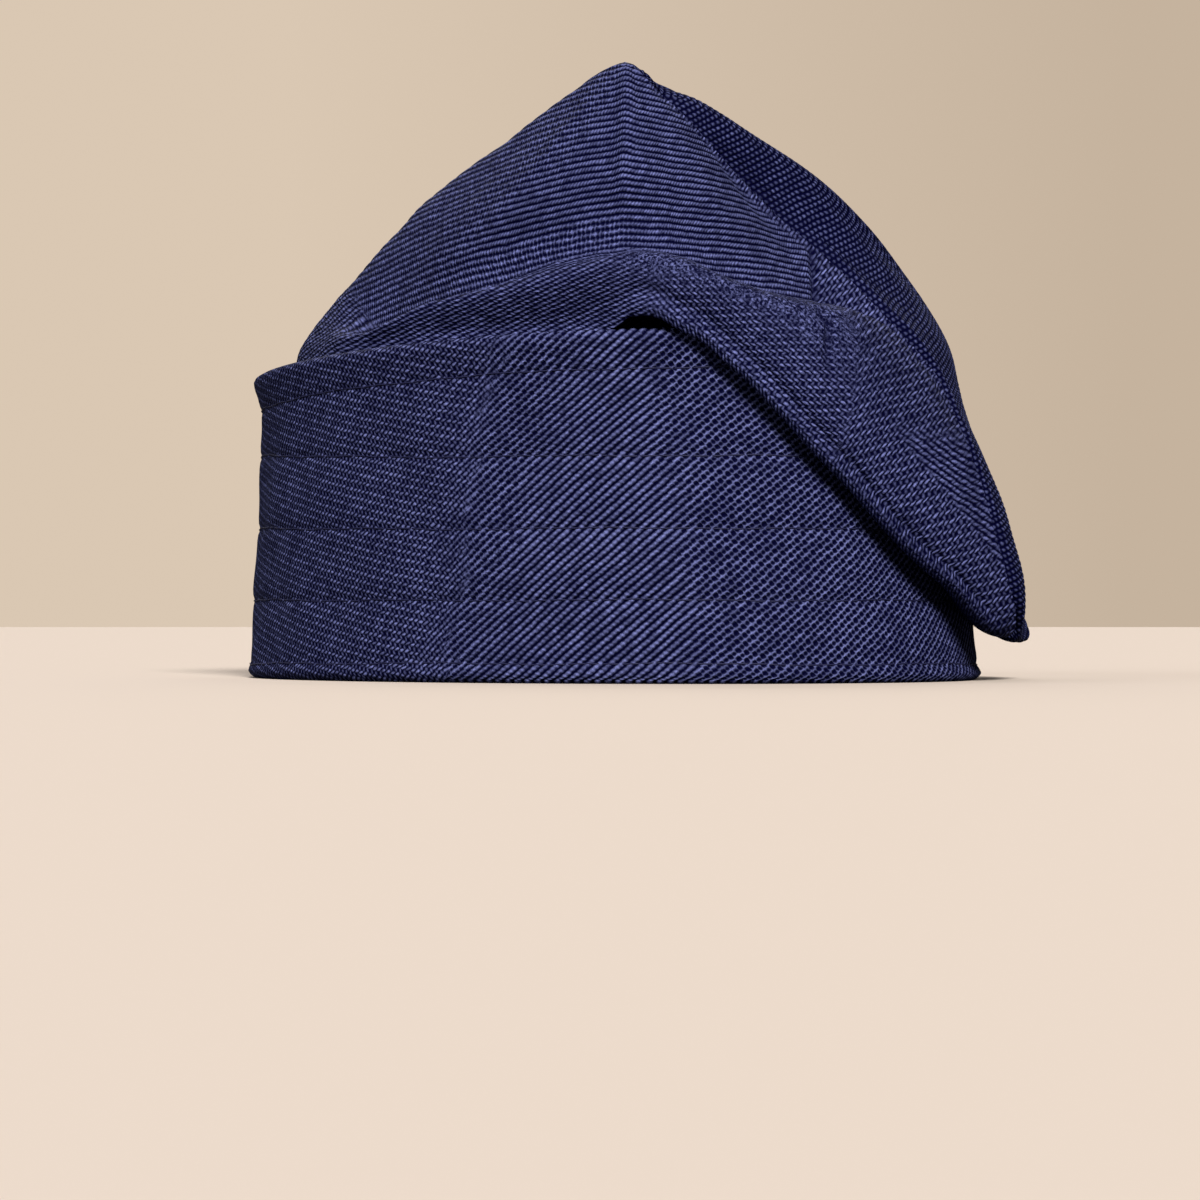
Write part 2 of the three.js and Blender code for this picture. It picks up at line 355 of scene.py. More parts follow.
def laid(across, up, weft, warp):
    """Weave over a flat plane, with its wefts and its warps each at their own slope and pitch."""
    pair = []
    for (slope, pitch), usual in ((warp, WARP), (weft, RIB)):
        slope = math.radians(slope)
        pair.append((across * math.cos(slope) + up * math.sin(slope)) * usual / pitch)
    return np.stack(pair, -1)


def past(edge):
    """From 0 to 1 past an edge on the band, towards the wearer's left. The yarns leave it ragged."""
    middle, lean, soft = edge
    return ease(seen_from - middle - lean * band_z + ragged, -soft, soft)


at_side = (1 - past(SIDE_EDGE)) * ease(seen_from, *SIDE_FROM)
under_flap = past(FLAP_NET_EDGE)
flap_dots = FLAP_DOTS * under_flap + FAR_DOTS * ease(seen_from, *FAR_ROUND)
band_dots = np.maximum(1 - past(DOTS_EDGE), flap_dots)
band_net = SIDE_NET * (1 - past(SIDE_NET_EDGE)) + FLAP_NET * under_flap
side_girth = np.radians(seen_from) * GIRTH / (2 * math.pi)
side_weave = laid(side_girth, band_z, SIDE_WEFT, SIDE_WARP)
raised = RELIEF * (rib_top(band_weave) - RIB_SUNK) * ribbed(band_net, band_dots) * (1 - at_side)
raised = np.where(band_depth <= half_wall, raised, 0)
facing = normals(band_grid[:-1])
band_grid = band_grid[:-1] + raised[:-1, :, None] * facing
band_grid[..., 2] = np.maximum(band_grid[..., 2], 0)


def ring_quads(columns, rows):
    """Quads of a ring whose cross-section is a closed loop, and the grid place of each of their corners."""
    i, j = np.meshgrid(np.arange(columns), np.arange(rows), indexing="ij")
    i = i.ravel()[:, None] + np.array([0, 1, 1, 0])
    j = j.ravel()[:, None] + np.array([0, 0, 1, 1])
    return (i % columns) * rows + j % rows, i, j


quads, at_column, at_row = ring_quads(band_columns, band_grid.shape[1])
closed_weave, closed_side = (np.concatenate([w, w[:, :1]], 1) for w in (band_weave, side_weave))
# Its shade value is painted shade: the band's colour darkened under the flap.
band = cloth(
    "woven_band",
    band_grid.reshape(-1, 3),
    quads.tolist(),
    {"weave": closed_weave[at_column, at_row], "side": closed_side[at_column, at_row]},
    {
        "net": band_net[:-1], "dots": band_dots[:-1], "at_side": at_side[:-1],
        "shade": 1 - FLAP_SHADE * under_flap[:-1], "soft": np.zeros_like(band_net[:-1]),
    },
)


STRAY = (0.42, 0.45)  # how far the yarns stray, and how much further where they are dotted
CHANCE_TINT = (0.62, 0.76)  # the least of each tint and what is added to it: by chance to each bead,
PATCH_TINT = (0.75, 0.5)  # in slow patches,
FUZZ_TINT = (0.15, 1.7)  # by the fibres,
OPEN_TINT = (1, 0.2)  # and in a net or among dots
CREST_GRAIN = (0.22, 0.52)  # the same for the weave's blurred height on a soft crest
GRAIN_ENDS = (0.35, 0.65)
RIB_NARROW = 2.1  # how narrow the yarns are drawn: 2 for no gap between them
NET_NARROW = 2.0
WARP_NARROW = 2.2
HOLE = (-0.1, 0.55)  # the soft edges of a net's holes and of the bridges between them
BRIDGE = (0.15, 0.95)
BRIDGE_SUNK = 0.7
NET_ROUND = (0.75, 0.25)
NET_TURNS = (0.9, 0.1)
WEFT_DOT = (0.54, 0.46)
WARP_DOT = (0.39, -0.27)
LIT = (0.1, 0.95)  # heights between which the colour goes from the gap's to the yarn's: painted shade in the hollows, painted light on the tops
LIT_POWER = 1.8
PATCHES = 45  # to a metre
FUZZ = 2600
GRAIN = 1700
FUZZ_HEIGHT = 0.14
YARN_BUMP = 0.5


def feed(tree, node, inputs):
    """Each input of a node is another node's output to link, or a value to set."""
    for key, value in inputs.items():
        if isinstance(value, bpy.types.NodeSocket):
            tree.links.new(value, node.inputs[key])
        else:
            node.inputs[key].default_value = value


def wired(tree, kind, inputs, out=0, **settings):
    """An output, the first if no other is named, of a new shader node with its inputs and settings."""
    node = tree.nodes.new("ShaderNode" + kind)
    for key, value in settings.items():
        setattr(node, key, value)
    feed(tree, node, inputs)
    return node.outputs[out]


def new_material(name):
    """A new material, its node tree and its shader."""
    material = bpy.data.materials.new(name)
    material.use_nodes = True
    return material, material.node_tree, material.node_tree.nodes["Principled BSDF"]


def cloth_material(name, yarn, gap, twist, turn, maps):
    """Woven cloth with dark gaps, deepened by painted shade: round ribs of twisted weft, or a net with holes,
    or rows of dots.
    Twist is how deep the turns of the weft are, and turn how many there are to a bead and how far they lean.
    After the first map, each comes with the name of the point value that lays it over the ones before."""
    material, tree, shader = new_material(name)

    def sum_of(kind, *inputs):
        return wired(tree, "Math", dict(enumerate(inputs)), operation=kind)

    def plus(*terms):
        return reduce(lambda a, b: sum_of("ADD", a, b), terms)

    def times(*factors):
        return reduce(lambda a, b: sum_of("MULTIPLY", a, b), factors)

    def wave(angle):
        return sum_of("COSINE", times(angle, math.pi))

    def rising(low, more, value):
        return plus(low, times(value, more))

    def less(value):
        return sum_of("SUBTRACT", 1.0, value)

    def blend(amount, first, second):
        return plus(first, times(amount, sum_of("SUBTRACT", second, first)))

    def noise(vector, scale, detail):
        return wired(tree, "TexNoise", {"Vector": vector, "Scale": scale, "Detail": detail})

    def soft_step(value, low, high):
        ends = {"Value": value, "From Min": low, "From Max": high}
        return wired(tree, "MapRange", ends, interpolation_type="SMOOTHSTEP")

    def point_value(key):
        return wired(tree, "Attribute", {}, "Fac", attribute_name=key)

    def yarn_round(off, narrow):
        width = times(off, narrow)
        return sum_of("MAXIMUM", 0.0, less(times(width, width)))

    net = point_value("net")
    dots = point_value("dots")

    def weave(key):
        """The cloth's height, from 0 in a gap to 1 on a yarn, and a random number for each bead of weft."""
        uv = wired(tree, "UVMap", {}, uv_map=key)
        uneven = {"Vector": uv, "Scale": 0.5, "Detail": 3.0, "Roughness": 0.6}
        stray = wired(tree, "TexNoise", uneven, "Color", noise_dimensions="2D")
        aside = wired(tree, "VectorMath", {0: stray, 1: (0.5, 0.5, 0.5)}, operation="SUBTRACT")
        strayed = {0: aside, 1: rising(*STRAY, dots), 2: uv}
        place = wired(tree, "VectorMath", strayed, operation="MULTIPLY_ADD")
        place = wired(tree, "SeparateXYZ", {0: place}).node.outputs
        across = sum_of("DIVIDE", place["Y"], RIB)
        along = sum_of("DIVIDE", place["X"], WARP)
        weft = sum_of("FLOOR", across)
        warp = sum_of("FLOOR", along)
        off_weft = plus(sum_of("FRACT", across), -0.5)
        off_warp = plus(sum_of("FRACT", along), -0.5)
        leaned = plus(times(along, turn[0]), times(off_weft, turn[1]))
        turns = sum_of("COSINE", times(leaned, 2 * math.pi))
        rib = times(yarn_round(off_weft, RIB_NARROW), rising(1 - twist, twist, turns))
        cell = times(wave(along), wave(across))
        hole = soft_step(cell, *HOLE)
        bridge = soft_step(times(cell, -1.0), *BRIDGE)
        crossed = times(
            less(hole), less(times(bridge, BRIDGE_SUNK)),
            rising(*NET_ROUND, yarn_round(off_weft, NET_NARROW)), rising(*NET_TURNS, turns),
        )
        row = wave(sum_of("SUBTRACT", along, across))
        under = wave(plus(across, warp, -0.5))
        weft_dot = times(yarn_round(off_weft, RIB_NARROW), rising(*WEFT_DOT, row))
        warp_dot = times(yarn_round(off_warp, WARP_NARROW), rising(*WARP_DOT, under))
        drawn = blend(dots, blend(net, rib, crossed), sum_of("MAXIMUM", weft_dot, warp_dot))
        bead = sum_of("FLOOR", times(plus(leaned, weft, 0.5), 0.5))
        pair = wired(tree, "CombineXYZ", {0: bead, 1: weft})
        chance = wired(tree, "TexWhiteNoise", {"Vector": pair}, noise_dimensions="2D")
        return drawn, chance

    height, chance = weave(maps[0])
    for key, share in maps[1:]:
        next_height, next_chance = weave(key)
        part = point_value(share)
        height = blend(part, height, next_height)
        chance = blend(part, chance, next_chance)
    where = wired(tree, "NewGeometry", {})
    fuzz = noise(where, FUZZ, 3.0)
    patches = noise(where, PATCHES, 3.0)
    grain = rising(*CREST_GRAIN, soft_step(noise(where, GRAIN, 1.0), *GRAIN_ENDS))
    height = blend(point_value("soft"), height, grain)
    # Painted shade and light: the colour darkens from the yarns' tops down into the gaps, in place of the
    # shade that falls in the weave's hollows.
    lit = sum_of("POWER", soft_step(height, *LIT), LIT_POWER)
    # The point value shade scales the colour: painted shade, and in one place painted light, laid on by each
    # piece.
    tint = times(
        rising(*CHANCE_TINT, chance), rising(*PATCH_TINT, patches), rising(*FUZZ_TINT, fuzz),
        rising(*OPEN_TINT, sum_of("MINIMUM", 1.0, plus(net, dots))), point_value("shade"),
    )
    tones = {"Factor": times(lit, tint), "A": (*gap, 1), "B": (*yarn, 1)}
    relief = plus(height, times(fuzz, FUZZ_HEIGHT))
    feed(tree, shader, {
        "Base Color": wired(tree, "Mix", tones, "Result", data_type="RGBA", clamp_factor=False),
        "Roughness": 0.46,
        "Specular IOR Level": 0.01,
        "Specular Tint": (0.6, 0.65, 1, 1),
        "Normal": wired(tree, "Bump", {"Distance": YARN_BUMP * MM, "Height": relief}),
    })
    return material


BAND_YARN = (0.1, 0.112, 0.262)
# The colour deep in the gaps: the cloth's own dark navy, deepened with painted shade.
GAP = (0.0012, 0.0012, 0.017)
BAND_TWIST = 0.16
BAND_TURN = (1, 0.4)
band.data.materials.append(cloth_material(
    "navy_band_cloth", BAND_YARN, GAP, BAND_TWIST, BAND_TURN, ["weave", ("side", "at_side")],
))
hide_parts("band")


# Rows of top stitching round the band: one fine thread to a row, drawn tight into the cloth so that it
# lies in a shallow hollow and goes under at the end of every stitch.
STITCH = 4.2
THREAD_RADIUS = 0.2
THREAD_RISE = 0.34  # from the ends of a stitch, under the cloth, to its middle
THREAD_UNDER = 0.22
THREAD_SIDES = 6
STITCH_POINTS = 6
ROW_WANDER = ((0.18, 9, 1), (0.1, 31, 2))  # how far, waves round the head, step from row to row


def thread(route, facing):
    """A round thread along a closed route of points, with the direction that faces out at each of them."""
    ahead = np.roll(route, -1, 0) - np.roll(route, 1, 0)
    ahead /= norm(ahead, axis=1, keepdims=True)
    side = np.cross(ahead, facing)
    side /= norm(side, axis=1, keepdims=True)
    out = np.cross(side, ahead)
    angle = np.arange(THREAD_SIDES) * 2 * math.pi / THREAD_SIDES
    ring = out[:, None] * np.cos(angle)[None, :, None] + side[:, None] * np.sin(angle)[None, :, None]
    return route[:, None] + ring * THREAD_RADIUS


stitch_points = []
stitches = round(GIRTH / STITCH)
around = even_azimuths(stitches * STITCH_POINTS)[0][:-1]
turned = np.radians(around)
beat = np.tile(np.arange(STITCH_POINTS) / STITCH_POINTS, stitches)
proud = THREAD_RISE * np.sin(beat * math.pi) ** 0.5 - THREAD_UNDER
facing = spot(around, 1, 0 * around) - AXIS * (1, 1, 0)
for number in range(STITCH_ROWS):
    wander = sum(far * np.sin(turned * waves + step * number) for far, waves, step in ROW_WANDER)
    row_z = stitch_height(number, around) + wander
    base = head_line(around) + band_out(around, row_z / band_top(around)) - STITCH_SINK
    route = spot(around, base, row_z)
    route = route + (band_swell(route, band_top(around)) + proud)[:, None] * facing
    stitch_points.append(thread(route, facing).reshape(-1, 3))
quads = ring_quads(len(around), THREAD_SIDES)[0]
quads = np.concatenate([quads + number * len(quads) for number in range(STITCH_ROWS)])
stitching = cloth("band_stitching", np.concatenate(stitch_points), quads.tolist(), {}, {})

THREAD_NAVY = (0.014, 0.015, 0.05)
THREAD_TONES = {"A": 0.45, "B": 1.5}  # shares of that colour in the turns' hollows and on their tops: painted shade and painted highlight over the thread's own uneven tone
THREAD_TURNS = 3200  # to a metre
THREAD_BUMP = 0.08
material, tree, shader = new_material("navy_thread")
where = wired(tree, "NewGeometry", {})
grain = wired(tree, "TexNoise", {"Vector": where, "Scale": THREAD_TURNS})
tones = {key: (*(c * share for c in THREAD_NAVY), 1) for key, share in THREAD_TONES.items()}
feed(tree, shader, {
    "Base Color": wired(tree, "Mix", {"Factor": grain, **tones}, "Result", data_type="RGBA"),
    "Roughness": 0.5,
    "Specular IOR Level": 0.15,
    "Normal": wired(tree, "Bump", {"Distance": THREAD_BUMP * MM, "Height": grain}),
})
stitching.data.materials.append(material)


# The crown: a bag of single cloth in two panels, sewn to each other along a seam from the flap's tip over
# the peak to the back. Its foot is sewn inside the band. At the front left it laps over the band as a flap.
CROWN_WALL = 1.8
SEWN_IN = 0.5  # how far the foot's seam draws the crown into the band's lining
SEAM_AZIMUTH = 22
FOOT_DEPTH = 13
TUCK_INSET = 8
LIP_RISE = 2.6
CROSS_RISE = 2
UNDER_CLEARANCE = 1.2
FOLD_RISE = 5
BELLY_OUT = 3.4
BELLY_RISE = 12
PEAK = np.array((-22, -33, 150))  # from the band's axis
PEAK_ROUND = 3.2
VALLEY_SHIFT = 0.2  # how far the centre of a level has moved towards the peak
SHOULDER_SHIFT = 0.45
UPPER_SHIFT = 0.82
UPPER_RADIUS = 0.46  # of the shoulder's radius
UPPER_RISE = 0.58  # of the rise from the shoulder to the peak
# One row for each azimuth: 1 where the cloth laps over the band, out from the head line and up for the fold
# and the crest, then radius and height of the valley and the shoulder.
SECTIONS = np.array([
    (-170, 0, -9, 80, -11, 87, 72, 99, 51, 117),
    (-130, 0, -9.5, 79.5, -12.6, 87, 65, 99, 48.5, 116.5),
    (-100, 0, -6.5, 78.5, -7.5, 83.5, 62, 86.5, 48, 109),
    (-70, 0, -4.8, 79.5, -3.5, 89.5, 65, 93, 49, 113),
    (-55, 0, -4.2, 80, -1.2, 92, 66.5, 97, 51, 115.5),
    (-43, 0, -2.8, 80.6, 1.2, 95, 68, 101, 53, 117.5),
    (-39, 0.4, 0.4, 81.8, 2.2, 97, 68.5, 101.5, 53.5, 118.3),
    (-36, 0.8, 2.8, 84.4, 3, 97.8, 69, 102, 54, 119),
    (-30, 1, 4.8, 80.7, 5.2, 95.8, 69.5, 100.5, 53, 118),
    (-24, 1, 5.6, 72.8, 7, 91.5, 70, 97, 51, 116.5),
    (-10, 1, 6.4, 48, 3, 86.5, 69, 92, 49, 114),
    (8, 1, 8.6, 22, -7, 82, 68, 89.5, 45, 112),
    (22, 1, 12.5, 10.5, -1, 66, 79.5, 84, 42, 113),
    (32, 1, 12.8, 9.6, 0.5, 63, 81.5, 83.5, 43, 115),
    (45, 1, 16.6, 11.2, 2, 62, 83, 85, 52.5, 117),
    (62, 1, 9.6, 33, 5, 67, 83.4, 88, 59.5, 118.5),
    (88, 1, 7.5, 60, 3, 83, 82, 95, 62.5, 120.5),
    (120, 0.4, 0, 80.5, -1, 90, 80, 99, 59.5, 122),
    (155, 0, -6, 80.5, -7.5, 87, 80, 100, 57, 122),
])
UPPER_FULLER = 0.015  # added to UPPER_RADIUS where the back panel is fullest
FULLEST = 55  # azimuth
FULL_REACH = 75
CAVE_AZIMUTHS = (-38, -35, -25, -17)  # where the hollow under the tuck opens and closes
CAVE_DEPTH = 7
BELLY_TIP = -4  # the belly at the flap's tip
LIP_OUT = 0.8  # the belly at the tuck, where the fold is only a thin lip
LIP_HIGH = 5.5
LIP_AZIMUTHS = (-34, -14)
TIP_AZIMUTHS = (22.4, 40, 56, 72)
SEAM_LEVELS = (0, 5, 5.5, 6, 6.5, 7, 7.5, 8, 8.5, 9, 10, 11, 12)
SEAM_DRIFT = (0, -2, 0, 3, 5, 1.5, -1.5, -1, -5, -9, -4, 0, 0)  # degrees towards the front at each level
DRIFT_REACH = 40
UNDER, FOLD, BELLY, CREST, VALLEY, SHOULDER, UPPER, ROUND = range(4, 12)  # levels up the crown


def lerp(a, b, t):
    return a + (b - a) * t


def level_points(azimuth):
    """The levels of the crown at each azimuth: its foot inside the band, three over the band's top edge,
    then under the flap, its fold and belly, the roll's crest, the valley, the shoulder and up to the peak."""
    over, fold_out, fold_z, crest_out, crest_z, valley_r, valley_z, shoulder_r, shoulder_z = (
        smooth(azimuth, SECTIONS[:, 0], column, 360) for column in SECTIONS.T[1:]
    )
    top = band_top(azimuth)
    head = head_line(azimuth)
    cave = window(azimuth, *CAVE_AZIMUTHS)
    inner = over * (1 - cave)
    tip = window(azimuth, *TIP_AZIMUTHS)
    thick = np.where(azimuth < 90, ease(azimuth, *LIP_AZIMUTHS), 1)
    belly = lerp(lerp(LIP_OUT, BELLY_OUT, thick), BELLY_TIP, tip)
    belly_rise = lerp(LIP_HIGH, BELLY_RISE, thick)
    fold_r = head + fold_out
    rim = head + band_out(azimuth, 1)
    inside = head + band_out(azimuth, 1 - FOOT_DEPTH / top) - BAND_WALL + SEWN_IN
    clear = head + band_out(azimuth, fold_z / top) + UNDER_CLEARANCE
    under_z = fold_z + np.minimum(FOLD_RISE, np.maximum(0.8, top - fold_z))
    lift = inner * np.maximum(0, fold_z - top) + CROSS_RISE * 4 * inner * (1 - inner) * (1 - cave)
    upper_z = lerp(shoulder_z, PEAK[2], UPPER_RISE)
    upper = shoulder_r * (UPPER_RADIUS + UPPER_FULLER * bell(azimuth, FULLEST, FULL_REACH))
    deep = CAVE_DEPTH * cave
    levels = [
        (inside, top - FOOT_DEPTH, 0),
        (rim + lerp(2 - TUCK_INSET, -BAND_WALL - 0.8, inner) - deep / 2, top + lerp(-7.5, -0.8, inner), 0),
        (rim + lerp(-TUCK_INSET, -1.5, inner) - deep, top + lerp(-3, LIP_RISE, inner) + lift, 0),
        (
            rim + lerp(-TUCK_INSET - 0.5, UNDER_CLEARANCE + 0.6, inner) - deep,
            top + lerp(-0.5, 0, inner) + lift + 3 * cave,
            0,
        ),
        (lerp(fold_r - 1.8, clear, over), lerp(fold_z - 1.5, under_z, over), 0),
        (fold_r, fold_z, 0),
        (fold_r + lerp(-0.5, belly, over), fold_z + lerp(3, belly_rise, over), 0),
        (head + crest_out, crest_z, 0),
        (valley_r, valley_z, VALLEY_SHIFT),
        (shoulder_r, shoulder_z, SHOULDER_SHIFT),
        (upper, upper_z, UPPER_SHIFT),
        (PEAK_ROUND + 0 * head, PEAK[2] - 1.2 + 0 * head, 1),
        (0 * head, PEAK[2] + 0 * head, 1),
    ]
    return np.stack([spot(azimuth, r, z, PEAK[:2] * shift) for r, z, shift in levels], 1)


def through(points, count):
    """A smooth curve through each row of points, with that many steps from one to the next."""
    first = 2 * points[:, :1] - points[:, 1:2]
    last = 2 * points[:, -1:] - points[:, -2:-1]
    p = np.concatenate([first, points, last], 1)
    gap = np.maximum(norm(np.diff(p, axis=1), axis=2, keepdims=True), 1e-6) ** 0.5
    columns = [points[:, :1]]
    t = (np.arange(1, count + 1) / count)[None, :, None]
    for k in range(points.shape[1] - 1):
        a, b, c, d = (p[:, k + n][:, None] for n in range(4))
        before, here, after = (gap[:, k + n][:, None] for n in range(3))
        leave = here * ((b - a) / before - (c - a) / (before + here) + (c - b) / here)
        arrive = here * ((c - b) / here - (d - b) / (here + after) + (d - c) / after)
        columns.append(
            b + leave * t
            + (3 * (c - b) - 2 * leave - arrive) * t**2
            + (2 * (b - c) + leave + arrive) * t**3
        )
    return np.concatenate(columns, 1)


CURVE_STEPS = 24  # fine points on the curve from one level to the next
SHOWS_FROM = 4.5  # the level under the fold where the visible cloth starts
PEAK_FROM = 11.6
HIDDEN_ROWS = 12
SHOWN_ROWS = 330
PEAK_ROWS = 4
SEAM_HOLLOW = 1.5  # how deep the seam draws the cloth in
SEAM_HOLLOW_WIDTH = 1.9
SEAM_EDGE = 0.45  # the turned edges that stand up on both sides of it
SEAM_EDGE_AWAY = 3.4
SEAM_EDGE_WIDTH = 1.1
TIP_NOTCH = 1.2  # how much deeper it is at the flap's tip
TIP_LIFT = 2.2  # how far it draws the flap's lower edge up there
TIP_LIFT_WIDTH = 2.4
LINING_SKIP = 8  # the wrong side has one row for so many of the right side
PEAK_NOTCH = AXIS * (1, 1, 0) + PEAK + (8.4, -7.1, -5)  # the dint where the seam leaves the peak
NOTCH_DEPTH = 3.2
NOTCH_SIZE = 5
CREASE_AZIMUTH = -38  # the ridge down the front of the peak
CREASE_COLUMNS = 101
FRONT_COLUMNS = 241
BACK_COLUMNS = 241
SLOW_SWELL = 0.45
CALMER = 0.25  # how much less that is above the roll
FINE_SWELL = 0.15
NOTCHED = (0, 15, 30, 50)  # azimuths of the flap's tip
crown_azimuth = np.concatenate([
    np.linspace(SEAM_AZIMUTH - 180, CREASE_AZIMUTH, CREASE_COLUMNS),
    np.linspace(CREASE_AZIMUTH, SEAM_AZIMUTH, FRONT_COLUMNS - CREASE_COLUMNS + 1)[1:],
    np.linspace(SEAM_AZIMUTH, SEAM_AZIMUTH + 180, BACK_COLUMNS)[1:],
])  # once round, from seam to seam to seam
crown_curve = through(level_points(crown_azimuth), CURVE_STEPS)
curve_level = np.arange(crown_curve.shape[1]) / CURVE_STEPS
crown = []
for points, reach in zip(crown_curve, run(crown_curve, 1)):
    shows, peak_from = np.interp((SHOWS_FROM, PEAK_FROM), curve_level, reach)
    at = np.concatenate([
        np.linspace(0, shows, HIDDEN_ROWS + 1)[:-1],
        np.linspace(shows, peak_from, SHOWN_ROWS),
        np.linspace(peak_from, reach[-1], PEAK_ROWS + 1)[1:],
    ])
    crown.append(np.stack([np.interp(at, reach, v) for v in (*points.T, curve_level)], -1))
crown = np.stack(crown)
seam_side = bell(crown_azimuth, SEAM_AZIMUTH, DRIFT_REACH)
drift = smooth(crown[FRONT_COLUMNS - 1, :, 3], SEAM_LEVELS, SEAM_DRIFT)
true_azimuth = crown_azimuth[:, None] - seam_side[:, None] * drift
for row, here in enumerate(true_azimuth.T):
    crown[:, row] = np.stack([np.interp(here, crown_azimuth, v) for v in crown[:, row].T], -1)
crown_level, crown = crown[..., 3], crown[..., :3]
round_it = run(crown, 0)
half_way = round_it[FRONT_COLUMNS - 1 : FRONT_COLUMNS]
from_seam = np.minimum(np.minimum(round_it, round_it[-1:] - round_it), np.abs(round_it - half_way))
below_peak = 1 - ease(crown_level, UPPER + 0.6, ROUND + 0.2)
drawn = hump(from_seam, SEAM_HOLLOW_WIDTH) * below_peak * ease(crown_level, UNDER + 0.4, FOLD)
edges = SEAM_EDGE * hump(from_seam - SEAM_EDGE_AWAY, SEAM_EDGE_WIDTH)
edges = edges * ease(crown_level, UNDER + 0.8, FOLD + 0.4) * below_peak
deeper = SEAM_HOLLOW + TIP_NOTCH * (1 - ease(crown_level, FOLD + 0.3, BELLY + 0.2))
slow = SLOW_SWELL - CALMER * ease(crown_level, CREST + 0.8, VALLEY + 0.6)
swell = slow * ripple(crown, 36, 3) + FINE_SWELL * ripple(crown, 13, 4)
swell = swell * window(crown_level, UNDER + 0.5, BELLY, UPPER + 0.5, ROUND + 0.5)
notch = NOTCH_DEPTH * hump(norm(crown - PEAK_NOTCH, axis=2), NOTCH_SIZE)
crown_facing = normals(crown[:-1])
crown_facing = np.concatenate([crown_facing, crown_facing[:1]])
crown = crown + (swell + edges - deeper * drawn - notch)[..., None] * crown_facing
at_fold = 1 - ease(np.abs(crown_level - FOLD), 0.3, 0.9)
at_tip = window(crown_azimuth, *NOTCHED)
crown[..., 2] += TIP_LIFT * hump(from_seam, TIP_LIFT_WIDTH) * at_fold * at_tip[:, None]
EYE_DISTANCE = 1000
EYE_HEIGHT = 15
LEAST_STEP = 0.5  # the least share of the cloth's length that the weave keeps
view = math.radians(VIEWED)
from_axis = crown[..., :2] - AXIS[:2]
nearness = EYE_DISTANCE / (EYE_DISTANCE + from_axis @ (-math.sin(view), math.cos(view)))
seen_x = from_axis @ (math.cos(view), math.sin(view)) * nearness
seen_z = (crown[..., 2] - EYE_HEIGHT) * nearness + EYE_HEIGHT
crease = CREASE_COLUMNS - 1


def following(values, points, axis):
    """The steps of values along an axis added up, each at least a share of the cloth's length there."""
    length = norm(np.diff(points, axis=axis), axis=2)
    steps = np.maximum(np.diff(values, axis=axis), LEAST_STEP * length)
    return np.insert(np.cumsum(steps, axis), 0, 0, axis=axis)


def spreading(across, column):
    """Distances round the crown that follow the cloth, and are true at one column."""
    total = following(across, from_axis, 0)
    return total - total[column] + across[column]


def climbing(height, level):
    """Heights up the crown that follow the cloth, and are true at one level."""
    total = following(height, crown, 1)
    shift = [np.interp(level, levels, off) for levels, off in zip(crown_level, height - total)]
    return total + np.array(shift)[:, None]


weave_fade = (1 - drawn) * window(crown_level, UNDER + 0.4, UNDER + 0.8, ROUND, ROUND + 0.4)


def groove(grid, start, end, depth, width):
    """A line drawn into the cloth from one point to another."""
    way = end - start
    t = np.clip((grid - start) @ way / (way @ way), 0, 1)
    off = norm(grid - start - t[..., None] * way, axis=2)
    return depth * hump(off, width)


def both_sides(value):
    """Values for the right side of a panel, and in reverse for the fewer rows of its wrong side."""
    return np.concatenate([value, value[:, ::-LINING_SKIP]], 1)


def panel(name, grid, facing, raised, maps, values):
    """A closed panel of cloth from the points of its right side, and how far its weave stands out there."""
    facing = facing.copy()
    facing[:, -1] = facing[:, -2].mean(0) / norm(facing[:, -2].mean(0))
    wrong = (grid - CROWN_WALL * facing)[:, ::-LINING_SKIP]
    loop = np.concatenate([grid + raised[..., None] * facing, wrong], 1)
    columns, rows = loop.shape[:2]
    quads, at_column, at_row = ring_quads(columns, rows)
    keep = at_column.max(1) < columns
    quads, at_column, at_row = quads[keep], at_column[keep], at_row[keep]
    ends = []
    for column, way in ((0, 1), (columns - 1, -1)):
        foot = column * rows
        for k in range(wrong.shape[1] - 1):
            behind = foot + rows - 1 - k
            front_of = [foot + k * LINING_SKIP + n for n in range(LINING_SKIP + 1)]
            fan = [(behind, a, b) for a, b in zip(front_of, front_of[1:])]
            fan.append((behind, front_of[-1], behind - 1))
            ends.extend(corners[::way] for corners in fan)
    flat_ends = np.array(ends)
    corner_maps = {}
    for key, value in maps.items():
        both = both_sides(value)
        wrapped = np.concatenate([both, both[:, :1]], 1)
        at_ends = both.reshape(-1, 2)[flat_ends.ravel()]
        corner_maps[key] = np.concatenate([wrapped[at_column, at_row].reshape(-1, 2), at_ends])
    point_values = {key: both_sides(value) for key, value in values.items()}
    return cloth(name, loop.reshape(-1, 3), quads.tolist() + ends, corner_maps, point_values)


# Front panel: the peak's front, the roll above the band and the flap with its open tuck. The cloth is folded
# down the front of the peak, so that its ribs meet there at an angle, and its weave turns again on the flap.
CREASE_RIDGE = 0.9
RIB_CLIMB = 0.98  # length of cloth for each millimetre of height above the roll
LEFT_CHEVRON = 0.127  # how fast the ribs drop away from the crease, to its left and right in the view
RIGHT_CHEVRON = 0.047
RIB_FAN = 0.06  # how much closer the ribs lie past the crease, and wider before it
FAN_HEIGHT = 118
FAN_REACH = 25
ROLL_WEFT = (-64, 1.17)  # degrees from level to across the wefts, and from one to the next
ROLL_WARP = (53, 1.15)
FLAP_WEFT = (45, 1.18)
FLAP_WARP = (-34.7, 1.293)
SLOPED_WEFT = (-33, 1.06)  # the same past the line where the flap's weave first turns
SLOPED_WARP = (32, 1.52)
TURNED_WEFT = (55, 1.48)  # and beyond the second line
TURNED_WARP = (-35, 1.25)
LIP_PITCH = 1.2
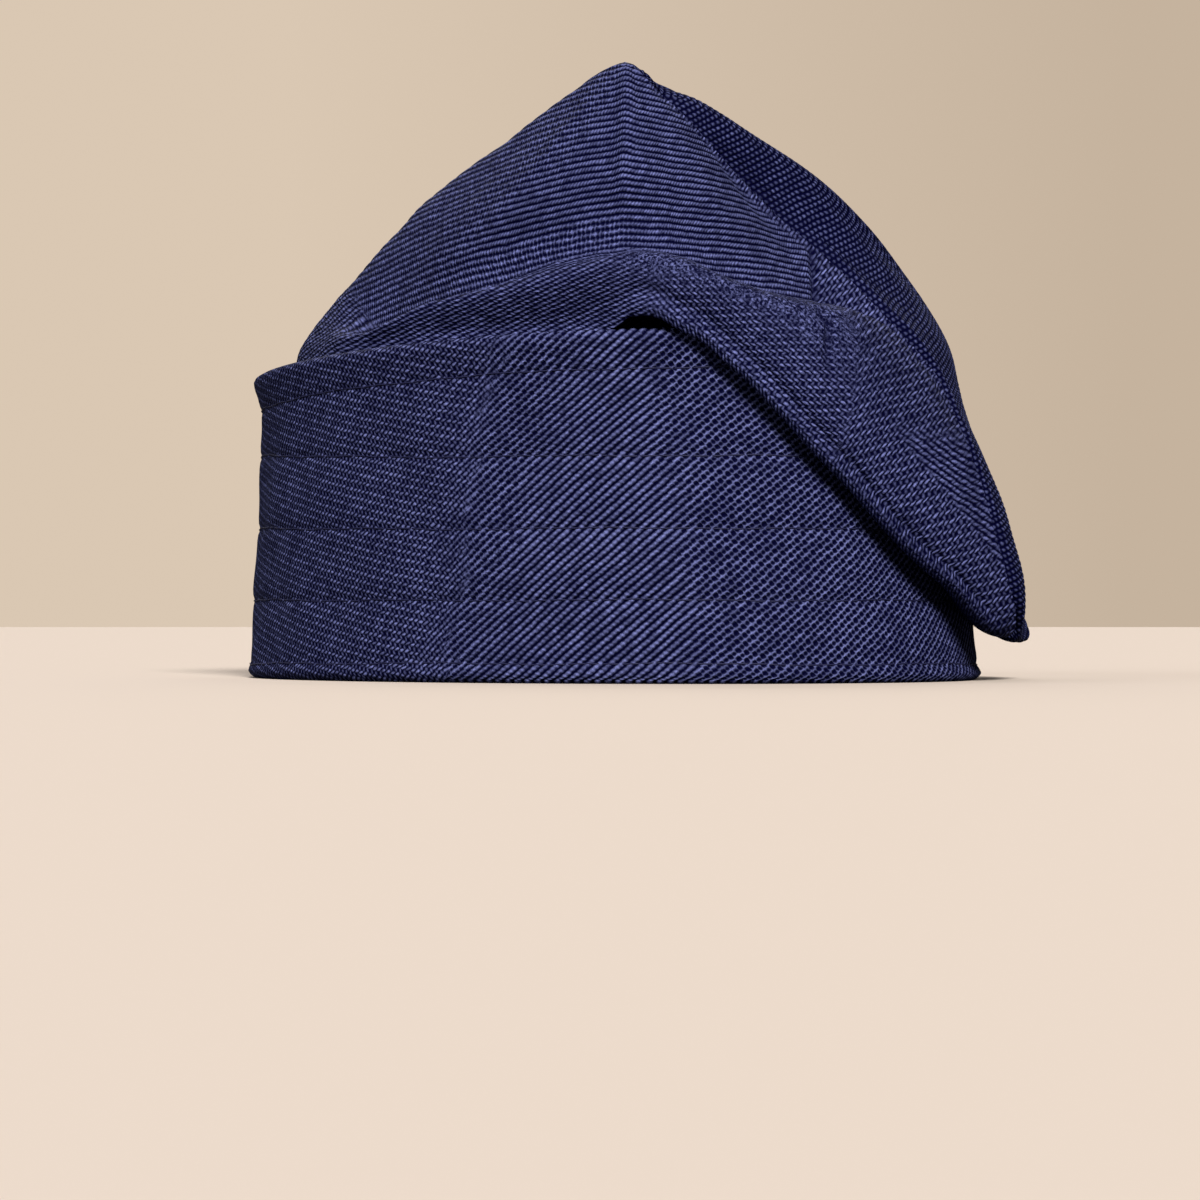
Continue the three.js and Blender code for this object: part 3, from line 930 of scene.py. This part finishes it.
LIP_SLANT = 0.3  # how far the strands slant as they wrap round the flap's edge
FIRST_LINE = ((88, -6), (58, -10))  # heights and azimuths of two points on each line
TURN_LINE = ((52, 1.5), (18, 21.6))
LIP_ROLL = (0.8, 1.8, 1.8)  # the flap's rolled edge: height, distance from the fold and width
LIP_CREASE = (0.9, 5.5, 1.7)  # depth and the same of the crease behind it
PINCH_UP = (70, 89, 94, 108)  # the fold from the flap to the seam: heights and distances across in the view
PINCH_ACROSS = (55.3, 56.5, 53, 52)
PINCH_DEPTH = 1.5
PINCH_WIDTH = 1.1
PINCH_STEPS = 32
# Painted shade: how much the colour darkens along the pinch's groove and in the seam's hollow.
PINCH_SHADE = 0.65
SEAM_SHADE = 0.6
RIDGE_WIDTH = 1.9
SEAM_KEEPS = 6  # the folds end this far from the seam
TUCK_AZIMUTHS = (-36, -30)  # where the roll turns into the flap
LIP_ENDS = (-40, -34, 8, 20)  # azimuths
PINCH_ENDS = (106, 112)  # heights
BESIDE_SEAM = (2.5, 9)
SEAM_DOTS = 5
TURNED_HEIGHTS = (20, 30, 54, 62)
FACED = (0.45, 0.75)  # how squarely the cloth faces the view, where it starts to turn away
AWAY_DOTS, AWAY_NET = 0.4, 0.75
ABOVE_DOTS, ABOVE_NET = 0.5, 0.65  # in the valley above the roll
CREASE_PLAINER = 0.7
ABOVE_SHADE = 0.1  # painted shade that darkens the cloth above the roll, and painted light that lightens it past the crease
# painted shade on the cloth under the fold, in the tuck's hollow and under the flap
UNDER_SHADE = 0.8
EDGE_SHADE = 0.35  # painted shade along the flap's lower edge
SOFT_CREST = 0.8
SOFT_AZIMUTHS = (-42, -34, -12, 2)
front_part = slice(0, FRONT_COLUMNS)
around, front_level, front, front_x, front_z, front_facing, front_seam = (
    part[front_part] for part in (true_azimuth, crown_level, crown, seen_x, seen_z, crown_facing, from_seam)
)


def seen_at(x, z):
    """The point of the front panel's right side, above its fold, nearest to a place in the view's plane."""
    off = np.where(front_level > FOLD + 0.2, np.hypot(front_x - x, front_z - z), np.inf)
    return front[np.unravel_index(np.argmin(off), off.shape)]


climb = run(front, 1)
fold_climb = np.array([np.interp(FOLD, level, c) for level, c in zip(front_level, climb)])[:, None]
from_fold = climb - fold_climb
lip = window(around, *LIP_ENDS)
lip_crease, lip_roll = (size * hump(from_fold - away, width) for size, away, width in (LIP_CREASE, LIP_ROLL))
dents = (lip_crease - lip_roll) * lip
pinch = 0
pinch_heights = np.linspace(PINCH_UP[0], PINCH_UP[-1], PINCH_STEPS + 1)
pinch_way = [seen_at(np.interp(height, PINCH_UP, PINCH_ACROSS), height) for height in pinch_heights]
for start, end, height in zip(pinch_way, pinch_way[1:], pinch_heights[1:]):
    depth = ease(height, *PINCH_UP[:2])
    pinch = np.maximum(pinch, groove(front, start, end, depth, PINCH_WIDTH))
dents = dents + PINCH_DEPTH * pinch
ridge_way = run(front, 0)
ridge_way = np.abs(ridge_way - ridge_way[crease : crease + 1])
on_ridge = ease(front_level, VALLEY + 0.2, SHOULDER) * below_peak[front_part]
dents = dents - CREASE_RIDGE * hump(ridge_way, RIDGE_WIDTH) * on_ridge
dents = dents * (1 - hump(front_seam, SEAM_KEEPS))
front = front - dents[..., None] * front_facing

along = run(front, 0)
along = along - along[crease : crease + 1]
z = front[..., 2]
drop = np.where(along < 0, -LEFT_CHEVRON * along, RIGHT_CHEVRON * along)
fan = RIB_FAN * np.tanh(along / FAN_REACH) * (z - FAN_HEIGHT)
rows_up = RIB_CLIMB * climbing(crown[..., 2], SHOULDER + 0.2)[front_part]
upper_weave = waver(np.stack([along, drop + rows_up + fan], -1), front, 30)
flat_x = spreading(seen_x, crease)[front_part]
flat_z = climbing(seen_z, BELLY + 0.5)[front_part]


def beyond(line, soft):
    """From 0 to 1 past a line on the flap, towards the wearer's left."""
    (high_z, high_az), (low_z, low_az) = line
    line_az = high_az + (high_z - z) * (low_az - high_az) / (high_z - low_z)
    return ease(around - line_az, -soft, soft)


on_flap = (1 - ease(front_level, CREST, CREST + 0.5)) * ease(around, *TUCK_AZIMUTHS)
beside_seam = (1 - ease(front_seam, *BESIDE_SEAM)) * ease(around, -5, 5) * below_peak[front_part]
past_pinch = ease(front_x - np.interp(front_z, PINCH_UP, PINCH_ACROSS), -0.7, 0.7)
past_pinch = past_pinch * (1 - ease(front_z, *PINCH_ENDS))
above_flap = ease(front_level, CREST, CREST + 0.4)
turned_z = lerp(flat_z, front_z, above_flap)
on_sloped = np.maximum(on_flap * beyond(FIRST_LINE, 1), np.maximum(beside_seam, past_pinch) * above_flap)
on_turned = on_flap * beyond(TURN_LINE, 0.7) * window(z, *TURNED_HEIGHTS)
on_lip = on_flap * (1 - ease(from_fold, 1.2, 2.6)) * lip
on_roll = (1 - ease(front_level, CREST + 0.75, VALLEY + 0.05)) * (1 - ease(around, *TUCK_AZIMUTHS))
lip_weave = np.stack([from_fold, (along + LIP_SLANT * from_fold) * RIB / LIP_PITCH], -1)
above_roll = 1 - ease(np.abs(front_level - VALLEY - 0.2), 0.15, 0.42)
past_crease = ease(around, CREASE_AZIMUTH - 4, CREASE_AZIMUTH + 4)
above_roll = above_roll * (1 - CREASE_PLAINER * past_crease)
turned_away = 1 - ease(front_facing @ (math.sin(view), -math.cos(view), 0), *FACED)
turned_away = turned_away * (1 - ease(around, CREASE_AZIMUTH - 20, CREASE_AZIMUTH))
front_dots = np.maximum(AWAY_DOTS * turned_away, ABOVE_DOTS * above_roll)
front_dots = np.clip(front_dots + hump(front_seam, SEAM_DOTS), 0, 1)
front_net = np.maximum(AWAY_NET * turned_away, ABOVE_NET * above_roll)
ribs = rib_top(upper_weave)
front_maps = {"weave": upper_weave}
front_values = {}
for name, weave_map, seed, part, net, dots in (
    ("roll", laid(flat_x, flat_z, ROLL_WEFT, ROLL_WARP), 33, on_roll, 0.4, 0.6),
    ("flap", laid(flat_x, flat_z, FLAP_WEFT, FLAP_WARP), 36, on_flap, 0.4, 1),
    ("sloped", laid(flat_x, turned_z, SLOPED_WEFT, SLOPED_WARP), 38, on_sloped, 0.4, 1),
    ("turned", laid(flat_x, turned_z, TURNED_WEFT, TURNED_WARP), 40, on_turned, 0, 0.65),
    ("lip", lip_weave, 42, on_lip, 0, 0.8),
):
    weave_map = waver(weave_map, front, seed)
    front_net, front_dots = lerp(front_net, net, part), lerp(front_dots, dots, part)
    ribs = lerp(ribs, rib_top(weave_map), part)
    front_maps[name] = weave_map
    front_values["on_" + name] = part
# The front panel's colour, darkened with painted shade in the seam, along the pinch, under the fold and along
# the flap's lower edge, and with painted shade and painted light above the roll.
front_shade = math.prod(1 - darker for darker in (
    SEAM_SHADE * drawn[front_part],
    PINCH_SHADE * pinch,
    ABOVE_SHADE * (1 - 2 * past_crease) * ease(front_level, VALLEY, VALLEY + 0.6),
    UNDER_SHADE * (1 - ease(front_level, UNDER + 0.5, FOLD - 0.05)),
    EDGE_SHADE * ease(around, -20, 0) * (1 - ease(from_fold, 1, 9)),
))
soft_crest = SOFT_CREST * hump(front_level - CREST, 0.55) * window(around, *SOFT_AZIMUTHS)
crown_front = panel(
    "front_panel",
    front,
    front_facing,
    RELIEF * (ribs - RIB_SUNK) * ribbed(front_net, front_dots) * weave_fade[front_part],
    front_maps,
    {**front_values, "net": front_net, "dots": front_dots, "shade": front_shade, "soft": soft_crest},
)
FRONT_YARN = (0.096, 0.108, 0.262)
FRONT_TWIST = 0.2
FRONT_TURN = (1.3, -1)
crown_front.data.materials.append(cloth_material(
    "navy_front_cloth", FRONT_YARN, GAP, FRONT_TWIST, FRONT_TURN,
    ["weave", *((name, "on_" + name) for name in front_maps if name != "weave")],
))
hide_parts("crown_front")


# Back panel: the other half of the bag, slack over the top and down to the flap's far tip. It is the same
# cloth with its wefts in rows of round beads, sewn edge to edge with the front panel.
BACK_WEFT = (-64, 1.5)
BACK_WARP = (54, 1.04)
BEHIND = 120  # the azimuth of the plane that the weave keeps to behind
BEHIND_FROM = (65, 70)
back_part = slice(FRONT_COLUMNS - 1, None)
back = crown[back_part]
plane = math.radians(BEHIND)
behind_column = np.argmin(np.abs(crown_azimuth - BEHIND))
behind_x = spreading(from_axis @ (math.cos(plane), math.sin(plane)), behind_column)
back_z = climbing(seen_z, SHOULDER)[back_part]
back_weave, behind_weave = (
    waver(laid(x[back_part], back_z, BACK_WEFT, BACK_WARP), back, 50)
    for x in (spreading(seen_x, crease), behind_x)
)
on_behind = ease(true_azimuth[back_part], *BEHIND_FROM)
# Painted shade: the colour darkened in the seam's hollow.
back_shade = 1 - SEAM_SHADE * drawn[back_part]
plain = 0 * back[..., 0]
crown_back = panel(
    "back_panel",
    back,
    crown_facing[back_part],
    RELIEF * (lerp(rib_top(back_weave), rib_top(behind_weave), on_behind) - RIB_SUNK) * weave_fade[back_part],
    {"weave": back_weave, "behind": behind_weave},
    {"on_behind": on_behind, "net": plain, "dots": plain, "shade": back_shade, "soft": plain},
)
# Darker than the front panel's yarn though it is the same cloth: painted shade for the back panel, which
# faces away from the light.
BACK_YARN = (0.062, 0.071, 0.178)
BACK_TWIST = 0.36
crown_back.data.materials.append(cloth_material(
    "navy_back_cloth", BACK_YARN, GAP, BACK_TWIST, BAND_TURN, ["weave", ("behind", "on_behind")],
))
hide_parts("crown_back")


# The studio: a pale warm floor and a plain backdrop of the same tone, with a large soft light high in front,
# a weak one from the wearer's right and another from behind. The camera stands where the photo was taken.
FOCAL_PIXELS = 3963
IMAGE = 1200
AIM = (607, 618.5)  # the pixel where the photograph has the band's axis at eye level
SENSOR = 36
scene = bpy.context.scene
scene.view_settings.view_transform = "Standard"
camera = bpy.data.objects.new("camera", bpy.data.cameras.new("camera"))
bpy.context.collection.objects.link(camera)
camera.data.sensor_width = SENSOR
camera.data.lens = SENSOR * FOCAL_PIXELS / IMAGE
camera.data.clip_start = 0.01
camera.location = spot(np.array(VIEWED), EYE_DISTANCE, np.array(EYE_HEIGHT)) * MM
yaw, pitch = (math.atan((pixel - IMAGE / 2) / FOCAL_PIXELS) for pixel in AIM)
camera.rotation_euler = (math.pi / 2 + pitch, 0, math.radians(VIEWED) + yaw)
scene.camera = camera

FLOOR_RADIUS = 6  # metres
FLOOR = (0.735, 0.632, 0.55)
FLOOR_BOUNCE = (0.11, 0.1, 0.1)  # what the cloth gets back from it


def seen_or_not(tree, seen, unseen, output):
    """One shader for what the camera sees, and another for the light that the cloth gets."""
    by_camera = wired(tree, "LightPath", {}, "Is Camera Ray")
    either = wired(tree, "MixShader", {0: by_camera, 1: unseen, 2: seen})
    feed(tree, tree.nodes[output], {0: either})


bpy.ops.mesh.primitive_circle_add(vertices=128, radius=FLOOR_RADIUS, fill_type="NGON", location=(0, 0, 0))
floor = bpy.context.object
floor.name = "floor"
paint, paint_tree, _ = new_material("pale_floor")
matt = [wired(paint_tree, "BsdfDiffuse", {"Color": (*tone, 1)}) for tone in (FLOOR, FLOOR_BOUNCE)]
seen_or_not(paint_tree, *matt, "Material Output")
floor.data.materials.append(paint)

BACKDROP_LEFT = (0.7, 0.575, 0.45)
BACKDROP_RIGHT = (0.56, 0.45, 0.342)
BACKDROP_FADE = {"From Min": -0.08, "From Max": 0.13}  # how far aside its two tones are, as sines
ROOM_LIGHT = (0.06, 0.06, 0.064)  # what the room gives back from all round, dimmer than the lit backdrop
world = bpy.data.worlds.new("backdrop")
scene.world = world
world.use_nodes = True
room_tree = world.node_tree
room = room_tree.nodes["Background"]
feed(room_tree, room, {"Color": (*ROOM_LIGHT, 1)})
way = wired(room_tree, "TexCoord", {}, "Generated")
aside = {0: way, 1: (math.cos(view), math.sin(view), 0)}
aside = wired(room_tree, "VectorMath", aside, "Value", operation="DOT_PRODUCT")
fade = wired(room_tree, "MapRange", {"Value": aside, **BACKDROP_FADE})
tones = {"Factor": fade, "A": (*BACKDROP_LEFT, 1), "B": (*BACKDROP_RIGHT, 1)}
tone = wired(room_tree, "Mix", tones, "Result", data_type="RGBA")
seen_or_not(room_tree, wired(room_tree, "Background", {"Color": tone}), room.outputs[0], "World Output")

for name, side, elevation, strength, spread, colour in (
    ("key", -30, 31, 4.8, 18, (1, 0.97, 0.93)),
    ("fill", -105, 25, 0.6, 50, (0.95, 0.97, 1)),
    ("behind", 150, 45, 1.0, 60, (1, 0.98, 0.96)),
):
    light = bpy.data.lights.new(name, "SUN")
    light.energy = strength
    light.angle = math.radians(spread)
    light.color = colour
    lamp = bpy.data.objects.new(name, light)
    bpy.context.collection.objects.link(lamp)
    lamp.rotation_euler = (math.radians(90 - elevation), 0, math.radians(side))
